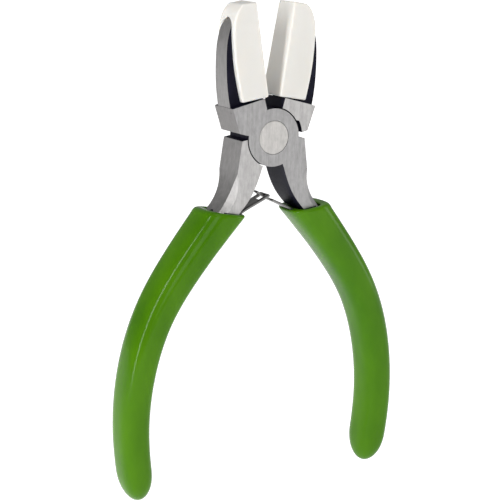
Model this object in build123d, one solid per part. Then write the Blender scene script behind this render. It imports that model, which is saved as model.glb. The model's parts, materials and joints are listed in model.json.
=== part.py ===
"""Nylon-jaw flat pliers with a lap joint, two leaf return springs and slip-on grips.

Everything is drawn around the pivot, with X across the jaws, Y along the pivot axis (the
front is -Y) and Z towards the jaw tips. One half is drawn in the closed pose, with its
gripping face on X = 0: the half whose jaw is on the left. The other half is the same
forging turned half a turn about Z. Each half is then opened by the rest angle.
"""

from build123d import *
import os

# Driving dimensions, in millimetres and degrees.
PIVOT_HEIGHT = 102.6  # from the ends of the grips to the pivot, in the rest pose
REST_ANGLE = 9.1  # each half is opened by this much from closed
HALF_THICKNESS = 5.2  # of the joint, from the lap plane to a ground face
LAP_GAP = 0.05  # from the lap plane to each lapped face
BOSS_RADIUS = 8.25
RECESS_RADIUS = 8.6
RELIEF_RADIUS = 9.35
RELIEF_TOP = 5.7

RIVET_RADIUS = 3.0
RIVET_HEAD_RADIUS = 4.8
RIVET_HEAD_DEPTH = 1.8
RIVET_EDGE_BREAK = 0.15
RUNNING_FIT = 0.05
FIXED_FIT = 0.01

JAW_BASE = 10.7
JAW_TIP = 34.9
JAW_INNER_X = -2.7
JAW_BASE_HALF = 3.45  # half thickness of the steel jaw at its base
JAW_TIP_HALF = 2.8

PAD_FACE_X = -0.05
PAD_BASE = 11.6
PAD_TIP = 38.3
PAD_BASE_HALF = 5.1
PAD_TIP_HALF = 4.25
PAD_FIT = 0.05
PAD_EDGE_RADIUS = 0.5
POCKET_HEIGHT = 0.15  # of the open end of the pad's channel, above the steel tip

DOWEL_RADIUS = 1.0
DOWEL_REACH = 1.7  # into the steel, and into the nylon
DOWEL_HEIGHTS = {"lower": 16.5, "upper": 28.5}

GRIP_MOUTH = -22.7
SHANK_END = GRIP_MOUTH + 0.1
GRIP_FIT = 0.12
TANG_END = 0.93  # of the length of the handle's centre line
GRIP_END_ROUNDING = 2.6
CORNER_SHARE = 0.42  # of a handle section's width, the radius of its corners

# The bevel on a shank's outer edges: (fraction of the way down to the mouth, width).
SHANK_BEVELS = [(0.0, -0.2), (0.3, 1.1), (0.65, 1.7), (1.0, 1.6)]
BEVEL_MARGIN = 0.3  # of the cutting shape, outside the steel

LEAF_THICKNESS = 0.6
LEAF_HALF_WIDTH = 2.5
TONGUE_HALF_WIDTH = 0.9
TONGUE_LENGTH = 5.0
SLOT_HALF_WIDTH = 1.3
SLOT_LENGTH = 2.8
SLOT_END_BAR = 0.45
LEAF_RIVET_RADIUS = 1.0
LEAF_RIVET_HEAD_RADIUS = 1.7
LEAF_RIVET_HEAD = 0.5
LEAF_RIVET_REACH = 2.6  # into the tang
POCKET_CLEARANCE = 0.3  # around a leaf's root inside the grip

# A leaf spring's middle surface in X and Z, from its seat on the tang to where the leaves cross.
LEAF_ROOT = (12.75, -32.4)
LEAF_SEAT_END = (9.53, -27.6)
LEAF_AT_MOUTH = (5.15, -22.75)
LEAF_CROSSING = (-2.75, -17.2)
TONGUE_TIP = (-4.9, -15.4)
SLOTTED_TIP = (-3.53, -16.58)

# The handle's centre line in X and Z, from inside the joint to the end of the grip.
HANDLE_POINTS = [(5.9, -16.0), (19.6, -38.5), (26.2, -53.6), (28.9, -71.0), (27.7, -87.0), (21.9, -107.3)]
HANDLE_START_DIRECTION = (0.56, -0.83)
HANDLE_END_DIRECTION = (-0.33, -0.94)
# Along that line: (fraction, half width in X and Z, half thickness in Y).
TANG_SECTIONS = [(0.05, 1.9, 4.4), (0.13, 2.6, 4.6), (0.3, 2.5, 4.6), (0.6, 2.3, 4.4), (TANG_END, 2.0, 3.9)]
GRIP_SECTIONS = [
    (0.0, 6.0, 7.6),
    (0.2, 5.3, 7.2),
    (0.45, 4.8, 6.6),
    (0.75, 4.5, 6.1),
    (0.92, 4.3, 5.8),
    (1.0, 3.2, 4.6),
]

# Outlines in X and Z of one closed half. REACH is well outside every outline.
REACH = 20
SHOULDER_CORNERS = [(0, 0), (-1.3, 8.9), (-1.6, 11.45), (-12.0, 10.55), (-10.75, 3.3), (-8.2, 2.2)]
SHANK_OUTER = [(9.85, -11.0), (10.8, -18.3), (12.8, SHANK_END)]
SHANK_INNER = [(7.3, SHANK_END), (4.7, -18.3), (2.2, -9.2)]
SHANK_TOP = [(2.2, -9.2), (0, 0), (8.4, -1.6), (10.05, -2.2), (9.85, -11.0)]
JAW_FOOT = 9.0  # where the steel jaw starts, inside the shoulder
JAW_TOP = 35.2
JAW_OUTER = [(-6.0, JAW_TOP), (-8.6, 32.1), (-11.1, 23.7), (-11.95, 15.0), (-11.8, JAW_FOOT)]
PAD_OUTER = [(-4.4, PAD_TIP), (-6.7, 36.2), (-8.8, 28.5), (-9.15, 19.5), (-8.6, PAD_BASE)]
LEAF_POCKET_CORNERS = [
    (13.8, -34.4),
    (11.6, -33.4),
    (8.5, -28.6),
    (3.95, -22.2),
    (10.0, -22.2),
    (15.0, -31.0),
]


def side_prism(face, low_y, high_y):
    """Extrude an outline drawn in X and Z from low_y to high_y."""
    return extrude(Plane.XZ.offset(-low_y) * face, -(high_y - low_y))


def end_prism(face, low_x, high_x):
    """Extrude an outline drawn in Y and Z from low_x to high_x."""
    return extrude(Plane.YZ.offset(low_x) * face, high_x - low_x)


def pivot_cylinder(radius, low_y, high_y):
    """A cylinder about the pivot axis."""
    return side_prism(Circle(radius), low_y, high_y)


def filled(points):
    """Fill the straight-sided outline through the points."""
    return make_face(Polyline(*points, close=True))


def handle_line():
    """The centre line of the shank, the tang and the grip, in X and Z."""
    return Spline(*HANDLE_POINTS, tangents=(HANDLE_START_DIRECTION, HANDLE_END_DIRECTION))


def handle_loft(sections, margin=0.0):
    """Rounded sections along the handle's centre line, grown by a margin."""
    line = Plane.XZ * handle_line()
    faces = []
    for fraction, half_width, half_thickness in sections:
        plane = Plane(origin=line @ fraction, x_dir=(0, 1, 0), z_dir=line % fraction)
        width, thickness = 2 * (half_width + margin), 2 * (half_thickness + margin)
        faces.append(plane * RectangleRounded(thickness, width, CORNER_SHARE * width))
    return loft(faces)


def shank_outer():
    """The outer edge of the shank, from below the joint to the mouth of the grip."""
    return Spline(*SHANK_OUTER, tangents=((0, -1), (0.52, -0.85)))


def shank_outline():
    """The handle side of the joint, from the boss to the mouth of the grip."""
    inner = Spline(*SHANK_INNER, tangents=((-0.56, 0.83), (-0.15, 1)))
    mouth = Line(SHANK_OUTER[-1], SHANK_INNER[0])
    return make_face([Polyline(*SHANK_TOP), shank_outer(), mouth, inner])


def steel_core(fit, pocket):
    """The steel jaw's thickness: a taper with a round end, as seen from the side."""
    base_half, tip_half = JAW_BASE_HALF + fit, JAW_TIP_HALF + fit
    shoulder = JAW_TIP + pocket - tip_half
    arch = ThreePointArc((tip_half, shoulder), (0, JAW_TIP + pocket), (-tip_half, shoulder))
    left_side = [(-tip_half, shoulder), (-base_half, JAW_BASE), (-base_half, JAW_FOOT)]
    right_side = [(base_half, JAW_FOOT), (base_half, JAW_BASE), (tip_half, shoulder)]
    return make_face([Polyline(*left_side, *right_side), arch])


def steel_jaw():
    """The thin steel jaw that the nylon pad straddles."""
    ends = Polyline(JAW_OUTER[-1], (JAW_INNER_X, JAW_FOOT), (JAW_INNER_X, JAW_TOP), JAW_OUTER[0])
    outline = side_prism(make_face([Spline(*JAW_OUTER), ends]), -HALF_THICKNESS, HALF_THICKNESS)
    return outline & end_prism(steel_core(0, 0), -REACH, 0)


def dowel(height, fit):
    """A locating dowel between the steel jaw and the nylon, or its hole."""
    reach = DOWEL_REACH + fit
    circle = Pos(0, height) * Circle(DOWEL_RADIUS + fit)
    return end_prism(circle, JAW_INNER_X - reach, JAW_INNER_X + reach)


def shank_bevel():
    """What the bevel takes off the shank's outer edge at the back, growing towards the mouth."""
    edge = Plane.XZ * shank_outer()
    faces = []
    for fraction, width in SHANK_BEVELS:
        plane = Plane(origin=edge @ fraction, x_dir=(0, 1, 0), z_dir=edge % fraction)
        outside = BEVEL_MARGIN
        inside = -width - BEVEL_MARGIN
        out = -1 if plane.y_dir.X < 0 else 1
        y = HALF_THICKNESS
        corners = [(y + outside, out * inside), (y + outside, out * outside), (y + inside, out * outside)]
        faces.append(plane * Polygon(*corners, align=None))
    return loft(faces)


def half_forging():
    """One steel half: jaw, lapped boss, shank and tang, without its rivet hole."""
    shoulder = side_prism(filled(SHOULDER_CORNERS), -HALF_THICKNESS, HALF_THICKNESS)
    shank = side_prism(shank_outline(), -HALF_THICKNESS, HALF_THICKNESS)
    shank -= [shank_bevel(), mirror(shank_bevel(), Plane.XZ)]
    boss = pivot_cylinder(BOSS_RADIUS, -HALF_THICKNESS, -LAP_GAP)
    relief_block = Pos(0, RELIEF_TOP) * Rectangle(REACH, REACH, align=(Align.MAX, Align.MAX))
    relief = side_prism(relief_block, -LAP_GAP, HALF_THICKNESS)
    relief &= pivot_cylinder(RELIEF_RADIUS, -LAP_GAP, HALF_THICKNESS)
    recess = pivot_cylinder(RECESS_RADIUS, -LAP_GAP, HALF_THICKNESS)
    steel = shoulder + shank + handle_loft(TANG_SECTIONS) + steel_jaw() - recess - relief + boss
    return steel - [dowel(height, FIXED_FIT) for height in DOWEL_HEIGHTS.values()]


def pad():
    """The nylon shoe: two cheeks beside the steel, a web on its inner side and a closed toe."""
    ends = Polyline(PAD_OUTER[-1], (PAD_FACE_X, PAD_BASE), (PAD_FACE_X, PAD_TIP), PAD_OUTER[0])
    base_corners = [(-PAD_BASE_HALF, PAD_BASE), (PAD_BASE_HALF, PAD_BASE)]
    tip_corners = [(PAD_TIP_HALF, PAD_TIP), (-PAD_TIP_HALF, PAD_TIP)]
    block = side_prism(make_face([Spline(*PAD_OUTER), ends]), -HALF_THICKNESS, HALF_THICKNESS)
    block &= end_prism(filled(base_corners + tip_corners), -REACH, 0)
    block = fillet(block.edges(), PAD_EDGE_RADIUS)
    channel = end_prism(steel_core(PAD_FIT, POCKET_HEIGHT), -REACH, JAW_INNER_X + PAD_FIT)
    return block - channel - [dowel(height, FIXED_FIT) for height in DOWEL_HEIGHTS.values()]


def leaf_pocket():
    """The room for a leaf's root and rivet on the inner side of a grip's bore."""
    half_width = LEAF_HALF_WIDTH + POCKET_CLEARANCE
    return side_prism(filled(LEAF_POCKET_CORNERS), -half_width, half_width)


def grip():
    """The slip-on sleeve, open at the mouth and round at its end."""
    sleeve = handle_loft(GRIP_SECTIONS)
    end_face = sleeve.faces().sort_by(Axis.Z)[0]
    sleeve = fillet(end_face.edges(), GRIP_END_ROUNDING)
    above_mouth = Pos(0, 0, GRIP_MOUTH) * Box(80, 40, 50, align=(Align.CENTER, Align.CENTER, Align.MIN))
    return sleeve - above_mouth - handle_loft(TANG_SECTIONS, GRIP_FIT) - leaf_pocket()


def leaf_rivet_parts(fit):
    """The small rivet's stem and head, square to the tang under a leaf's root."""
    root, seat_end = Vector(LEAF_ROOT[0], 0, LEAF_ROOT[1]), Vector(LEAF_SEAT_END[0], 0, LEAF_SEAT_END[1])
    along = (seat_end - root).normalized()
    plane = Plane(origin=(root + seat_end) / 2, x_dir=(0, 1, 0), z_dir=along.cross(Vector(0, 1, 0)))
    stem_length = LEAF_RIVET_REACH + LEAF_THICKNESS + fit
    stem = Cylinder(LEAF_RIVET_RADIUS + fit, stem_length, align=(Align.CENTER, Align.CENTER, Align.MAX))
    head = Cylinder(LEAF_RIVET_HEAD_RADIUS, LEAF_RIVET_HEAD, align=(Align.CENTER, Align.CENTER, Align.MIN))
    return plane * Pos(0, 0, LEAF_THICKNESS / 2) * stem, plane * Pos(0, 0, LEAF_THICKNESS / 2) * head


def leaf(tip):
    """A leaf spring's blank, from its seat on the tang to its tip, with its rivet hole."""
    path = Spline(LEAF_ROOT, LEAF_SEAT_END, LEAF_AT_MOUTH, LEAF_CROSSING, tip)
    ribbon = trace(path, LEAF_THICKNESS)
    return side_prism(ribbon, -LEAF_HALF_WIDTH, LEAF_HALF_WIDTH) - leaf_rivet_parts(FIXED_FIT)[0]


def near_tip(tip, start, end, half_width):
    """A block around a leaf's end, from start to end back from its tip."""
    crossing = Vector(LEAF_CROSSING[0], 0, LEAF_CROSSING[1])
    tip_point = Vector(tip[0], 0, tip[1])
    plane = Plane(origin=tip_point, x_dir=crossing - tip_point, z_dir=(0, 1, 0))
    block = Box(end - start, 4, 2 * half_width, align=(Align.MIN, Align.CENTER, Align.CENTER))
    return plane * Pos(start, 0, 0) * block


def tongue_leaf():
    """The leaf that narrows to a tongue."""
    end = near_tip(TONGUE_TIP, -2, TONGUE_LENGTH, LEAF_HALF_WIDTH + 1)
    tongue = near_tip(TONGUE_TIP, -3, TONGUE_LENGTH + 1, TONGUE_HALF_WIDTH)
    return leaf(TONGUE_TIP) - (end - tongue)


def slotted_leaf():
    """The leaf with the slot that the tongue goes through."""
    slot_end = SLOT_END_BAR + SLOT_LENGTH
    return leaf(SLOTTED_TIP) - near_tip(SLOTTED_TIP, SLOT_END_BAR, slot_end, SLOT_HALF_WIDTH)


def rivet_parts(fit, head_length):
    """The pivot rivet's shaft and its two flush heads, each head_length deep, or their holes."""
    reach = HALF_THICKNESS
    shaft = pivot_cylinder(RIVET_RADIUS + fit, -reach, reach)
    heads = [pivot_cylinder(RIVET_HEAD_RADIUS + fit, -reach, head_length - reach),
             pivot_cylinder(RIVET_HEAD_RADIUS + fit, reach - head_length, reach)]
    return shaft, heads


def pivot_rivet():
    """The pivot rivet, with a fine break on the rim of each head."""
    shaft, heads = rivet_parts(0, RIVET_HEAD_DEPTH)
    rivet = shaft + heads
    rims = rivet.faces().sort_by(Axis.Y)
    return chamfer(rims[0].edges() + rims[-1].edges(), RIVET_EDGE_BREAK)


def drilled(steel, fit):
    """A half with the holes for the pivot rivet and for its leaf's rivet."""
    shaft, heads = rivet_parts(fit, RIVET_HEAD_DEPTH + fit)
    return steel - shaft - heads - leaf_rivet_parts(FIXED_FIT)[0]


def opened(shape, rear=False):
    """Turn a closed half to its place in the rest pose, and make it the rear half if asked."""
    shape = Rot(0, -REST_ANGLE, 0) * shape
    return Rot(0, 0, 180) * shape if rear else shape


def save(node, shape):
    """Lift a finished piece to stand on the grips' ends and write it."""
    placed = Pos(0, 0, PIVOT_HEIGHT) * shape
    placed.label = node
    export_step(placed, f"parts/{node}.step")
    box = placed.bounding_box()
    print(node, round(placed.volume), box.min, box.max)


os.makedirs("parts", exist_ok=True)
forging = half_forging()
save("front_half", opened(drilled(forging, FIXED_FIT)))
save("rear_half", opened(drilled(forging, RUNNING_FIT), rear=True))
save("pivot_rivet", pivot_rivet())

nylon = pad()
sleeve = grip()
leaf_rivet = leaf_rivet_parts(0)[0] + leaf_rivet_parts(0)[1]
for jaw, handle, rear in (("left", "right", False), ("right", "left", True)):
    save(f"{jaw}_jaw_pad", opened(nylon, rear))
    for level, height in DOWEL_HEIGHTS.items():
        save(f"{jaw}_pad_dowel_{level}", opened(dowel(height, 0), rear))
    save(f"{handle}_grip", opened(sleeve, rear))
    save(f"{handle}_leaf_rivet", opened(leaf_rivet, rear))
save("tongue_leaf_spring", opened(tongue_leaf()))
save("slotted_leaf_spring", opened(slotted_leaf(), rear=True))
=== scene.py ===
"""Nylon-jaw pliers: materials, grips, leaf springs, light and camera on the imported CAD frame."""

import json
import math

import bmesh
import bpy
from mathutils import Matrix, Quaternion, Vector


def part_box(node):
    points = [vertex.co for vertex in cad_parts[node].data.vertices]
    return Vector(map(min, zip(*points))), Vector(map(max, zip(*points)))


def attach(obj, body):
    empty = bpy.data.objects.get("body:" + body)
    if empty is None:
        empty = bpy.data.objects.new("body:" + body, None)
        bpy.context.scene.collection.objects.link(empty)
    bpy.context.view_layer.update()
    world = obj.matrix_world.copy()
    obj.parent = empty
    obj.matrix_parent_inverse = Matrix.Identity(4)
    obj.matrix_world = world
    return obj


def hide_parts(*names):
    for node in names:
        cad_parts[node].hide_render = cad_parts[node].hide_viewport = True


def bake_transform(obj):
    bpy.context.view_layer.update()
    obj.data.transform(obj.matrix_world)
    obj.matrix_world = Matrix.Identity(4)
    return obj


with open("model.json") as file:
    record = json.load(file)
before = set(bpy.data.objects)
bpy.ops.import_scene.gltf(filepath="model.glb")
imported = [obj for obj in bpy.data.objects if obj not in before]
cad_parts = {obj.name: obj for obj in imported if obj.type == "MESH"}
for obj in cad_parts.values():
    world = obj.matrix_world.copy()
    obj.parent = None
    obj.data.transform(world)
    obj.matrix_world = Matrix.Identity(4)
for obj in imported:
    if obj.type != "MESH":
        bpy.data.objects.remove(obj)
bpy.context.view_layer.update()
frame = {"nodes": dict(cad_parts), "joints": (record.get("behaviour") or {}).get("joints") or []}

MM = 0.001
PIVOT = Vector(frame["joints"][0]["pos_m"])
REST_ANGLE = math.radians(9.1)  # each half is opened by this much from closed
HALF_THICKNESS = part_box("front_half")[1].y / MM
TO_REST = Matrix.Rotation(-REST_ANGLE, 4, "Y")  # from the closed half to its rest place
HALF_TURN = Matrix.Rotation(math.pi, 4, "Z")  # from the front half to the rear half


def place_of(rear):
    """The matrix that puts a closed front-half drawing, in metres about the pivot, in its rest place."""
    turned = HALF_TURN @ TO_REST if rear else TO_REST
    return Matrix.Translation(PIVOT) @ turned


# --- Camera -----------------------------------------------------------------------------------

CAMERA_PLACE = Vector((-237.2, -388.5, 63.6)) * MM + PIVOT
CAMERA_TARGET = Vector((-3.70, 0.0, -32.98)) * MM + PIVOT
CAMERA_ROLL = math.radians(1.6)
CAMERA_LENS, CAMERA_SENSOR = 116.4, 36  # millimetres
CAMERA_CLIP = (0.01, 20)


def make_camera():
    data = bpy.data.cameras.new("camera")
    data.lens, data.sensor_width = CAMERA_LENS, CAMERA_SENSOR
    data.clip_start, data.clip_end = CAMERA_CLIP
    camera = bpy.data.objects.new("camera", data)
    camera.location = CAMERA_PLACE
    look = (CAMERA_TARGET - CAMERA_PLACE).to_track_quat("-Z", "Y")
    camera.rotation_mode = "QUATERNION"
    camera.rotation_quaternion = look @ Quaternion((0, 0, 1), CAMERA_ROLL)
    bpy.context.scene.collection.objects.link(camera)
    bpy.context.scene.camera = camera


# --- Node helpers -----------------------------------------------------------------------------

MIX_FACTOR, MIX_A, MIX_B, MIX_RESULT = 0, 6, 7, 2  # sockets of a Mix node that mixes colours


class Shader:
    """A node material that is built one node at a time."""

    def __init__(self, name):
        self.material = bpy.data.materials.new(name)
        self.material.use_nodes = True
        self.tree = self.material.node_tree
        self.surface = self.tree.nodes["Principled BSDF"]

    def node(self, kind, inputs=None, **settings):
        made = self.tree.nodes.new(kind)
        for key, value in settings.items():
            setattr(made, key, value)
        for key, value in (inputs or {}).items():
            self.feed(made.inputs[key], value)
        return made

    def feed(self, socket, value):
        if isinstance(value, bpy.types.NodeSocket):
            self.tree.links.new(value, socket)
        else:
            socket.default_value = value

    def set(self, **values):
        """Feeds the surface's sockets, named with _ for each space."""
        for key, value in values.items():
            self.feed(self.surface.inputs[key.replace("_", " ")], value)

    def place(self, scale=(1, 1, 1)):
        """The piece's own coordinates in metres. A scale below 1 stretches a pattern along that axis."""
        coordinates = self.node("ShaderNodeTexCoord").outputs["Object"]
        return self.node("ShaderNodeMapping", {"Vector": coordinates, "Scale": scale}).outputs["Vector"]

    def noise(self, scale, stretch=(1, 1, 1), detail=3.0, roughness=0.55):
        inputs = {"Scale": scale, "Vector": self.place(stretch), "Detail": detail, "Roughness": roughness}
        return self.node("ShaderNodeTexNoise", inputs).outputs["Fac"]

    def contrast(self, factor, black, white):
        """Greys from black at one value of the factor to white at the other."""
        made = self.node("ShaderNodeValToRGB", {"Fac": factor})
        first, last = made.color_ramp.elements
        first.position, last.position = black, white
        return made.outputs["Color"]

    def mix(self, factor, a, b):
        """A mix of two colours, each of which is a socket or three numbers."""
        made = self.node("ShaderNodeMix", {MIX_FACTOR: factor}, data_type="RGBA")
        for socket, colour in ((MIX_A, a), (MIX_B, b)):
            value = colour if isinstance(colour, bpy.types.NodeSocket) else (*colour, 1)
            self.feed(made.inputs[socket], value)
        return made.outputs[MIX_RESULT]

    def scaled(self, factor, low, high):
        inputs = {"Value": factor, "To Min": low, "To Max": high}
        return self.node("ShaderNodeMapRange", inputs).outputs["Result"]

    def bump(self, height, distance, strength, under=None):
        """A bumped normal, with its distance in metres, on top of another bump if there is one."""
        made = self.node("ShaderNodeBump", {"Height": height, "Distance": distance, "Strength": strength})
        if under is not None:
            self.feed(made.inputs["Normal"], under)
        return made.outputs["Normal"]


# --- Materials --------------------------------------------------------------------------------

DARK_STREAK, LIGHT_STREAK = 0.70, 1.27  # of the steel's tint
SMOOTHER, ROUGHER = 0.07, 0.1  # than the steel's mean roughness


def ground_steel(name, tint, roughness=0.42):
    """Belt-ground steel: short fine scratches along the tool over a mottled grey, a few of them deep."""
    shader = Shader(name)
    fine = shader.noise(2600, (1, 1, 0.10), detail=4, roughness=0.75)
    long = shader.noise(1100, (1, 1, 0.06), detail=3, roughness=0.6)
    mottle = shader.noise(900, (1, 1, 0.55), detail=4, roughness=0.65)
    scratches = shader.mix(0.4, shader.contrast(fine, 0.32, 0.68), shader.contrast(long, 0.35, 0.65))
    streaks = shader.mix(0.4, scratches, shader.contrast(mottle, 0.3, 0.7))
    dark = tuple(channel * DARK_STREAK for channel in tint)
    light = tuple(channel * LIGHT_STREAK for channel in tint)
    shader.set(
        Base_Color=shader.mix(streaks, dark, light),
        Metallic=0.75,
        Anisotropic=0.35,
        Roughness=shader.scaled(streaks, roughness - SMOOTHER, roughness + ROUGHER),
        Normal=shader.bump(scratches, 0.00004, 0.6),
    )
    return shader.material


def black_oxide():
    """Blued, unground forging skin: almost black with a violet cast and a faint grain."""
    shader = Shader("black_oxide")
    grain = shader.noise(1400, detail=5, roughness=0.7)
    cloud = shader.contrast(shader.noise(180), 0.35, 0.7)
    shader.set(
        Base_Color=shader.mix(cloud, (0.004, 0.0038, 0.010), (0.010, 0.0095, 0.020)),
        Roughness=shader.scaled(grain, 0.38, 0.58),
        Specular_IOR_Level=0.07,
        Normal=shader.bump(grain, 0.00005, 0.5),
    )
    return shader.material


def nylon():
    """Milky moulded nylon: slightly translucent, with flow marks and a fine satin grain."""
    shader = Shader("nylon")
    grain = shader.noise(2600)
    flow = shader.noise(90, (1, 1, 0.4))
    waves = shader.bump(flow, 0.0002, 0.25)
    shader.set(
        Base_Color=shader.mix(shader.contrast(flow, 0.3, 0.75), (0.635, 0.62, 0.585), (0.675, 0.66, 0.63)),
        Roughness=shader.scaled(grain, 0.40, 0.55),
        Subsurface_Weight=0.7,
        Subsurface_Radius=(1.0, 0.85, 0.7),
        Subsurface_Scale=0.0025,
        Specular_IOR_Level=0.45,
        Normal=shader.bump(grain, 0.00002, 0.35, waves),
    )
    return shader.material


def green_vinyl():
    """Dipped-look glossy vinyl: a saturated green with slow waves, faint clouds and dust-fine pits."""
    shader = Shader("green_vinyl")
    cloud = shader.contrast(shader.noise(55, (1, 1, 0.5), detail=4), 0.3, 0.7)
    waves = shader.bump(shader.noise(120, (1, 1, 0.35), detail=2), 0.0003, 0.25)
    pits = shader.noise(1800, detail=2)
    shader.set(
        Base_Color=shader.mix(cloud, (0.035, 0.124, 0.0), (0.066, 0.188, 0.001)),
        Roughness=shader.scaled(pits, 0.16, 0.25),
        Coat_Weight=0.12,
        Coat_Roughness=0.1,
        Specular_IOR_Level=0.065,
        Normal=shader.bump(pits, 0.00001, 0.4, waves),
    )
    return shader.material


def spring_steel():
    """Tempered strip: grey-brown steel with rolling lines along the strip."""
    shader = Shader("spring_steel")
    lines = shader.noise(700, (0.08, 1, 0.08), detail=4, roughness=0.65)
    shader.set(
        Base_Color=shader.mix(shader.contrast(lines, 0.3, 0.7), (0.09, 0.088, 0.09), (0.25, 0.245, 0.24)),
        Metallic=0.85,
        Roughness=shader.scaled(lines, 0.28, 0.42),
        Normal=shader.bump(lines, 0.00002, 0.5),
    )
    return shader.material


# --- Frame pieces -----------------------------------------------------------------------------

FACE, SIDE, SHOULDER, SKIN = 0, 1, 2, 3  # material indices on a steel half

# Where each finish and each painted-shade tint is, in millimetres on the closed front-half drawing about
# the pivot.
GROUND_BOTTOM, GROUND_TOP = -23.2, 11.6  # heights between which the flat faces are ground
GROUND_DEPTH = 0.25  # a ground face is within this of the half's full thickness
JAW_SIDE_BOTTOM, JAW_SIDE_X = 3.2, -4.2
SHANK_SIDE_TOP, SHANK_SIDE_X = -2.4, 8.6
SHOULDER_TOP, SHOULDER_X = 10.8, -9

# How far a normal leans to count as a flat face, as the jaw's or shank's side, and as the bevel.
FLAT_LEAN, JAW_SIDE_LEAN, SHANK_SIDE_LEAN, BEVEL_LEAN = 0.95, 0.35, 0.3, 0.35


def finish_of(centre, normal):
    """How a face of a steel half is finished, and which painted-shade tint its sides take, from its place
    on the closed front-half drawing.
    """
    x, y, z = centre
    if abs(normal.y) > FLAT_LEAN:
        ground = GROUND_BOTTOM < z < GROUND_TOP and abs(y) > HALF_THICKNESS - GROUND_DEPTH
        return FACE if ground else SKIN
    if z > JAW_SIDE_BOTTOM and x < JAW_SIDE_X and normal.x < -JAW_SIDE_LEAN:
        # the shoulder takes a darker copy of the side steel: painted shade
        return SHOULDER if z < SHOULDER_TOP and x < SHOULDER_X else SIDE
    if GROUND_BOTTOM < z < SHANK_SIDE_TOP and x > SHANK_SIDE_X and normal.x > SHANK_SIDE_LEAN:
        return FACE if abs(normal.y) > BEVEL_LEAN else SIDE
    return SKIN


def paint(node, *materials):
    mesh = frame["nodes"][node].data
    mesh.materials.clear()
    for material in materials:
        mesh.materials.append(material)
    return mesh


def paint_half(node, rear, finishes):
    """Ground faces tinted per half for painted light or shade, coarser ground sides painted darker as
    shade, a shoulder painted darker still, and black forging skin on one steel half.
    """
    to_drawing = place_of(rear).inverted()
    for polygon in paint(node, *finishes).polygons:
        centre = (to_drawing @ polygon.center) / MM
        polygon.material_index = finish_of(centre, to_drawing.to_3x3() @ polygon.normal)


# --- Curves and meshes ------------------------------------------------------------------------

RELAXING_ROUNDS = 60


def mesh_piece(name, vertices, faces, material):
    """A smooth-shaded object with one material."""
    mesh = bpy.data.meshes.new(name)
    mesh.from_pydata([tuple(v) for v in vertices], [], faces)
    mesh.materials.append(material)
    mesh.validate()
    mesh.polygons.foreach_set("use_smooth", [True] * len(mesh.polygons))
    piece = bpy.data.objects.new(name, mesh)
    bpy.context.scene.collection.objects.link(piece)
    return piece


def spline_tangents(points, start, end):
    """Slopes of the smooth cubic through the points, with its two end directions given."""
    spans = [(b - a).length for a, b in zip(points, points[1:])]
    slopes = [start] + [(c - a) / (c - a).length for a, c in zip(points, points[2:])] + [end]
    for _ in range(RELAXING_ROUNDS):
        for i in range(1, len(points) - 1):
            before, after = spans[i - 1], spans[i]
            step_in, step_out = points[i] - points[i - 1], points[i + 1] - points[i]
            pull = 3 * (step_out * before / after + step_in * after / before)
            slopes[i] = (pull - slopes[i - 1] * after - slopes[i + 1] * before) / (2 * (before + after))
    return spans, slopes


def hermite(points, spans, slopes, steps):
    """Points along the cubic, with so many steps between each two of its own points."""
    found = []
    for a, b, span, slope_a, slope_b in zip(points, points[1:], spans, slopes, slopes[1:]):
        for i in range(steps):
            t = i / steps
            found.append(
                a * (2 * t**3 - 3 * t**2 + 1)
                + slope_a * span * (t**3 - 2 * t**2 + t)
                + b * (3 * t**2 - 2 * t**3)
                + slope_b * span * (t**3 - t**2)
            )
    return [*found, points[-1]]


def distances_along(line):
    found = [0.0]
    for a, b in zip(line, line[1:]):
        found.append(found[-1] + (b - a).length)
    return found


# --- Grips ------------------------------------------------------------------------------------

# The handle's centre line as (X, Z) of the closed drawing, in millimetres about the pivot.
HANDLE_POINTS = [(5.9, -16.0), (19.6, -38.5), (26.2, -53.6), (28.9, -71.0), (27.7, -87.0), (21.9, -107.3)]
HANDLE_START = Vector((0.56, -0.83)).normalized()
HANDLE_END = Vector((-0.33, -0.94)).normalized()
HANDLE_STEPS = 120
FINE_STEPS = 200  # between two handle points, to measure the length

# Half sizes in the drawing's plane and along Y, by fraction of the handle's length.
GRIP_SIZES = [(0.0, 5.95, 7.5), (0.2, 5.25, 7.1), (0.45, 4.75, 6.5), (0.75, 4.45, 6.05), (1.0, 4.3, 5.85)]
BORE_SIZES = [(0.0, 3.15, 5.45), (0.3, 2.7, 5.0), (0.6, 2.5, 4.6), (1.0, 2.2, 4.1)]

# Powers of a section's superellipse: 2 is an ellipse, and more is boxier.
SQUARENESS, BORE_SQUARENESS, LIP_SQUARENESS, DOME_SQUARENESS = 2.75, 4.0, 3.6, 2.0
ROUND = 64  # points round a section

GRIP_MOUTH = -22.7  # height of the sleeve's level mouth
MOUTH_AHEAD = 1.5  # the mouth's sections are copied from this far down the handle
BORE_DEPTHS = (14.0, 9.0, 5.0, 2.5)  # below the mouth
LIP = 0.55  # rounding of the mouth on the inside
OUTER_LIP = LIP * 1.4
LIP_SHARE = 0.45  # most of the wall that the inside rounding takes
LIP_STEPS = 6
LEVELLING_STEPS = 6  # steps of the handle from the level mouth to sections square to it
LEVELLING_START, LEVELLING_DROP = 1.4, 2.0
DOME = 9.0  # length of the grip's round end
DOME_STEPS = 14
DOME_FALL = 2.3  # power of the dome's profile
DOME_TIP = 0.02  # share of the section that is left at the tip


def handle_curve():
    """Evenly spaced (fraction, point, direction) along the handle's centre line, and its length."""
    points = [Vector(p) for p in HANDLE_POINTS]
    dense = hermite(points, *spline_tangents(points, HANDLE_START, HANDLE_END), FINE_STEPS)
    lengths = distances_along(dense)
    found, at = [], 0
    for i in range(HANDLE_STEPS + 1):
        wanted = lengths[-1] * i / HANDLE_STEPS
        while at < len(dense) - 2 and lengths[at + 1] < wanted:
            at += 1
        share = (wanted - lengths[at]) / (lengths[at + 1] - lengths[at])
        point = dense[at].lerp(dense[at + 1], min(1, share))
        found.append((i / HANDLE_STEPS, point, (dense[at + 1] - dense[at]).normalized()))
    return found, lengths[-1]


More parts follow.
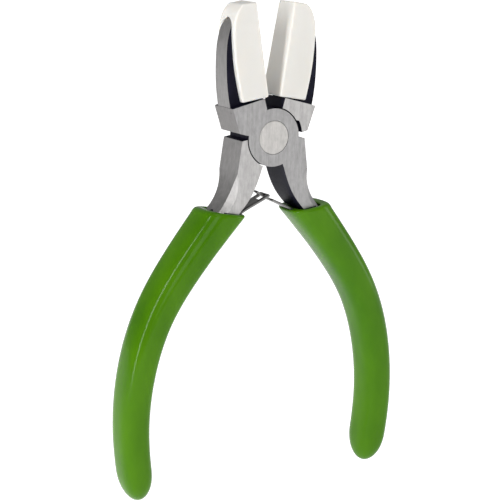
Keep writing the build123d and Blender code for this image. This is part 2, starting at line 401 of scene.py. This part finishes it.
def between(table, fraction):
    """Linear look-up of the two sizes in a table of (fraction, size, size)."""
    for (f0, a0, b0), (f1, a1, b1) in zip(table, table[1:]):
        if fraction <= f1:
            share = (fraction - f0) / (f1 - f0)
            return a0 + (a1 - a0) * share, b0 + (b1 - b0) * share
    return table[-1][1:]


def section(half_width, half_thickness, power):
    """Points of a rounded-rectangle section as (offset in the drawing's plane, Y)."""
    found = []
    for i in range(ROUND):
        angle = 2 * math.pi * i / ROUND
        c, s = math.cos(angle), math.sin(angle)
        found.append((
            half_width * math.copysign(abs(c) ** (2 / power), c),
            half_thickness * math.copysign(abs(s) ** (2 / power), s),
        ))
    return found


def ring(point, direction, sizes, power=SQUARENESS, height=None):
    """One section across the handle, in metres. With a height, it is slid along the handle to lie level."""
    across = Vector((-direction.y, direction.x))
    made = []
    for offset, y in section(*sizes, power):
        flat = point + across * offset
        if height is not None:
            flat = flat + direction * ((height - flat.y) / direction.y)
        made.append(Vector((flat.x, y, flat.y)) * MM)
    return made


def mouth_rings(fraction, point, direction):
    """Up the bore, and over the rounded lip to the outside."""
    outer, bore = between(GRIP_SIZES, fraction), between(BORE_SIZES, fraction)
    lip = [min(LIP, (o - b) * LIP_SHARE) for o, b in zip(outer, bore)]
    angles = [math.pi / 2 * turn / LIP_STEPS for turn in range(LIP_STEPS + 1)]
    rings = [ring(point, direction, bore, BORE_SQUARENESS, GRIP_MOUTH - depth) for depth in BORE_DEPTHS]
    for angle in angles:
        sizes = [b + most * (1 - math.cos(angle)) for b, most in zip(bore, lip)]
        height = GRIP_MOUTH - LIP * (1 - math.sin(angle))
        rings.append(ring(point, direction, sizes, LIP_SQUARENESS, height))
    for angle in angles:
        sizes = [o - OUTER_LIP * (1 - math.sin(angle)) for o in outer]
        height = GRIP_MOUTH - OUTER_LIP * (1 - math.cos(angle))
        rings.append(ring(point, direction, sizes, SQUARENESS, height))
    return rings


def wall_rings(line, mouth, dome_start):
    """Down the outside, turning from the level mouth to sections square to the handle."""
    rings = []
    for i, (fraction, point, direction) in enumerate(line):
        if i < mouth or fraction > dome_start:
            continue
        sizes = between(GRIP_SIZES, fraction)
        straight = ring(point, direction, sizes)
        if i < mouth + LEVELLING_STEPS:
            share = (i - mouth + 1) / (LEVELLING_STEPS + 1)
            height = GRIP_MOUTH - LEVELLING_START - share * LEVELLING_DROP
            level = ring(point, direction, sizes, SQUARENESS, height)
            straight = [a.lerp(b, share) for a, b in zip(level, straight)]
        rings.append(straight)
    return rings


def dome_rings(line, length, dome_start):
    """Over the grip's round end."""
    rings = []
    for i in range(DOME_STEPS + 1):
        share = math.sin(math.pi / 2 * i / DOME_STEPS)
        fraction = dome_start + (1 - dome_start) * share
        nearest, point, direction = min(line, key=lambda step: abs(step[0] - fraction))
        point = point + direction * ((fraction - nearest) * length)
        shrink = max(DOME_TIP, math.sqrt(max(0.0, 1 - share**DOME_FALL)))
        sizes = [size * shrink for size in between(GRIP_SIZES, fraction)]
        power = SQUARENESS + (DOME_SQUARENESS - SQUARENESS) * share
        rings.append(ring(point, direction, sizes, power))
    return rings


def skin(rings):
    """Vertices and faces between rings of the same count, with a cap at each end."""
    vertices = [v for made in rings for v in made]
    count = len(rings[0])
    faces = []
    for start in range(0, len(vertices) - count, count):
        for i in range(count):
            j = (i + 1) % count
            faces.append((start + i, start + j, start + count + j, start + count + i))
    faces.append(tuple(reversed(range(count))))
    faces.append(tuple(range(len(vertices) - count, len(vertices))))
    return vertices, faces


def make_grip(side, rear, material):
    """A dipped sleeve on one handle, in place of the CAD's grip."""
    line, length = handle_curve()
    mouth = next(i for i, (_, point, _) in enumerate(line) if point.y < GRIP_MOUTH - MOUTH_AHEAD)
    dome_start = 1 - DOME / length
    rings = mouth_rings(*line[mouth]) + wall_rings(line, mouth, dome_start)
    vertices, faces = skin(rings + dome_rings(line, length, dome_start))
    place = place_of(rear)
    piece = mesh_piece(f"{side}_grip_sleeve", [place @ v for v in vertices], faces, material)
    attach(piece, "rear" if rear else "front")
    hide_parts(f"{side}_grip")


# --- Leaf springs -----------------------------------------------------------------------------

# The strips' middle line as (X, Z) of the closed drawing. All sizes are in millimetres.
LEAF_PATH = [(12.75, -32.4), (9.53, -27.6), (5.15, -22.75), (-2.75, -17.2)]
TONGUE_TIP, SLOTTED_TIP = (-4.9, -15.4), (-3.53, -16.58)
LEAF_THICKNESS, LEAF_ROUNDING = 0.6, 0.08
LEAF_HALF_WIDTH, TONGUE_HALF_WIDTH, SLOT_HALF_WIDTH = 2.5, 0.9, 1.3
TONGUE_LENGTH = 5.0
SLOT_NEAR, SLOT_FAR = 0.45, 3.25  # the slot's ends, from the tip
LEAF_STEPS = 18  # between two points of the path
MIDDLE = 1  # of the three columns of cells across a strip


def beside_tongue(column, from_tip):
    return column != MIDDLE and from_tip < TONGUE_LENGTH


def in_slot(column, from_tip):
    return column == MIDDLE and SLOT_NEAR < from_tip < SLOT_FAR


def leaf_line(tip):
    """Points along a leaf's middle line."""
    points = [Vector(p) for p in (*LEAF_PATH, tip)]
    start = (points[1] - points[0]).normalized()
    end = (points[-1] - points[-2]).normalized()
    return hermite(points, *spline_tangents(points, start, end), LEAF_STEPS)


def leaf_mesh(tip, inner_half, is_cut):
    """A ribbon three cells wide, without the cells that are cut."""
    line = leaf_line(tip)
    distances = distances_along(line)
    across = [-LEAF_HALF_WIDTH, -inner_half, inner_half, LEAF_HALF_WIDTH]
    vertices = [Vector((p.x, y, p.y)) * MM for p in line for y in across]
    row = len(across)
    faces = []
    for i in range(len(line) - 1):
        from_tip = distances[-1] - (distances[i] + distances[i + 1]) / 2
        for column in range(row - 1):
            if not is_cut(column, from_tip):
                a = i * row + column
                faces.append((a, a + 1, a + row + 1, a + row))
    return vertices, faces


def drop_loose(mesh):
    """Removes vertices that no face uses."""
    cleaner = bmesh.new()
    cleaner.from_mesh(mesh)
    bmesh.ops.delete(cleaner, geom=[v for v in cleaner.verts if not v.link_faces], context="VERTS")
    cleaner.to_mesh(mesh)
    cleaner.free()


def make_leaf(name, rear, tip, inner_half, is_cut, material):
    """A leaf spring that curves from its own handle's body towards the other."""
    vertices, faces = leaf_mesh(tip, inner_half, is_cut)
    place = place_of(rear)
    piece = mesh_piece(f"{name}_strip", [place @ v for v in vertices], faces, material)
    drop_loose(piece.data)
    thicken = piece.modifiers.new("thickness", "SOLIDIFY")
    thicken.thickness = LEAF_THICKNESS * MM
    thicken.offset = 0
    rounding = piece.modifiers.new("rounding", "BEVEL")
    rounding.width = LEAF_ROUNDING * MM
    rounding.segments = 2
    rounding.limit_method = "ANGLE"
    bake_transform(piece)
    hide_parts(name)


# --- Stage ------------------------------------------------------------------------------------

FLOOR_HALF, FLOOR_LEVEL = 8.0, -0.012
FLOOR_GLOW, FLOOR_GLOW_FAR = 0.68, 0.95
GLOW_NEAR, GLOW_FAR = 0.3, 1.3  # distances over which the glow grows
SKY_BRIGHTEST = Vector((0.90, 0.10, 0.40)).normalized()
SKY_DARK, SKY_LIGHT = 0.30, 0.36
SKY_FROM, SKY_TO = -0.9, 0.7  # cosines to the brightest direction where the sky is dark and light
LIT_POINT = PIVOT - Vector((0, 0, 0.04))
LIGHTS = [  # name, place about the lit point, size, watts
    ("left_strip", (-0.86, -0.16, 0.32), (0.085, 0.85), 5.4),
    ("right_soft", (0.80, -0.40, 0.25), (0.30, 0.7), 2.3),
    ("front_soft", (-0.35, -0.95, 0.40), (0.5, 0.5), 2.0),
    ("top_soft", (0.0, -0.25, 0.95), (0.6, 0.6), 1.65),
]


def make_floor():
    """A white table under the tool. It glows a little, and more so far away, so that it renders white."""
    half, z = FLOOR_HALF, FLOOR_LEVEL
    corners = [(-half, -half, z), (half, -half, z), (half, half, z), (-half, half, z)]
    shader = Shader("studio_floor")
    distance = shader.node("ShaderNodeVectorMath", {0: shader.place()}, operation="LENGTH").outputs["Value"]
    glow = {"From Min": GLOW_NEAR, "From Max": GLOW_FAR, "To Min": FLOOR_GLOW, "To Max": FLOOR_GLOW_FAR}
    shader.set(
        Base_Color=shader.mix(shader.noise(2, detail=2), (0.90, 0.90, 0.90), (0.93, 0.93, 0.93)),
        Roughness=0.95,
        Emission_Color=(1, 1, 1, 1),
        Emission_Strength=shader.node("ShaderNodeMapRange", {"Value": distance, **glow}).outputs["Result"],
    )
    mesh_piece("floor", corners, [(0, 1, 2, 3)], shader.material)


def make_world():
    """A light tent, a little brighter on the tool's right and above it."""
    world = bpy.data.worlds.new("studio")
    bpy.context.scene.world = world
    world.use_nodes = True
    tree = world.node_tree
    direction = tree.nodes.new("ShaderNodeTexCoord")
    dot = tree.nodes.new("ShaderNodeVectorMath")
    dot.operation = "DOT_PRODUCT"
    dot.inputs[1].default_value = SKY_BRIGHTEST
    tree.links.new(direction.outputs["Generated"], dot.inputs[0])
    shade = tree.nodes.new("ShaderNodeMapRange")
    shade.interpolation_type = "SMOOTHSTEP"
    limits = {"From Min": SKY_FROM, "From Max": SKY_TO, "To Min": SKY_DARK, "To Max": SKY_LIGHT}
    for socket, value in limits.items():
        shade.inputs[socket].default_value = value
    tree.links.new(dot.outputs["Value"], shade.inputs["Value"])
    background = tree.nodes["Background"]
    background.inputs["Color"].default_value = (1, 1, 1, 1)
    tree.links.new(shade.outputs["Result"], background.inputs["Strength"])


def make_light(name, offset, size, power):
    """A white area light that shines on the lit point, and that the camera doesn't see."""
    data = bpy.data.lights.new(name, "AREA")
    data.shape = "RECTANGLE"
    data.size, data.size_y = size
    data.energy = power
    light = bpy.data.objects.new(name, data)
    light.location = LIT_POINT + Vector(offset)
    light.rotation_mode = "QUATERNION"
    light.rotation_quaternion = (-Vector(offset)).to_track_quat("-Z", "Y")
    light.visible_camera = False
    bpy.context.scene.collection.objects.link(light)


# --- The scene --------------------------------------------------------------------------------

bpy.context.scene.view_settings.view_transform = "Standard"
make_camera()
make_floor()
make_world()
for name, offset, size, power in LIGHTS:
    make_light(name, offset, size, power)

# The side and shoulder steels are the same ground steel with darker tints: painted shade.
sides = [
    ground_steel("side_steel_painted_shade", (0.237, 0.231, 0.229), 0.45),
    ground_steel("shoulder_steel_painted_deeper_shade", (0.188, 0.182, 0.18), 0.45),
    black_oxide(),
]
# Each half's ground face has its own tint, darker on the front half and lighter on the rear: painted shade
# and painted light on one steel.
paint_half("front_half", False, [ground_steel("front_ground_steel_painted_shade", (0.305, 0.30, 0.30)), *sides])
paint_half("rear_half", True, [ground_steel("rear_ground_steel_painted_light", (0.405, 0.396, 0.391)), *sides])
paint("pivot_rivet", ground_steel("rivet_steel", (0.445, 0.431, 0.416), 0.36))

white = nylon()
pin_steel = ground_steel("dowel_steel", (0.42, 0.42, 0.42), 0.3)
strip = spring_steel()
for jaw in ("left", "right"):
    paint(f"{jaw}_jaw_pad", white)
    paint(f"{jaw}_leaf_rivet", pin_steel)
    for level in ("lower", "upper"):
        paint(f"{jaw}_pad_dowel_{level}", pin_steel)
make_leaf("tongue_leaf_spring", False, TONGUE_TIP, TONGUE_HALF_WIDTH, beside_tongue, strip)
make_leaf("slotted_leaf_spring", True, SLOTTED_TIP, SLOT_HALF_WIDTH, in_slot, strip)

vinyl = green_vinyl()
make_grip("right", False, vinyl)
make_grip("left", True, vinyl)
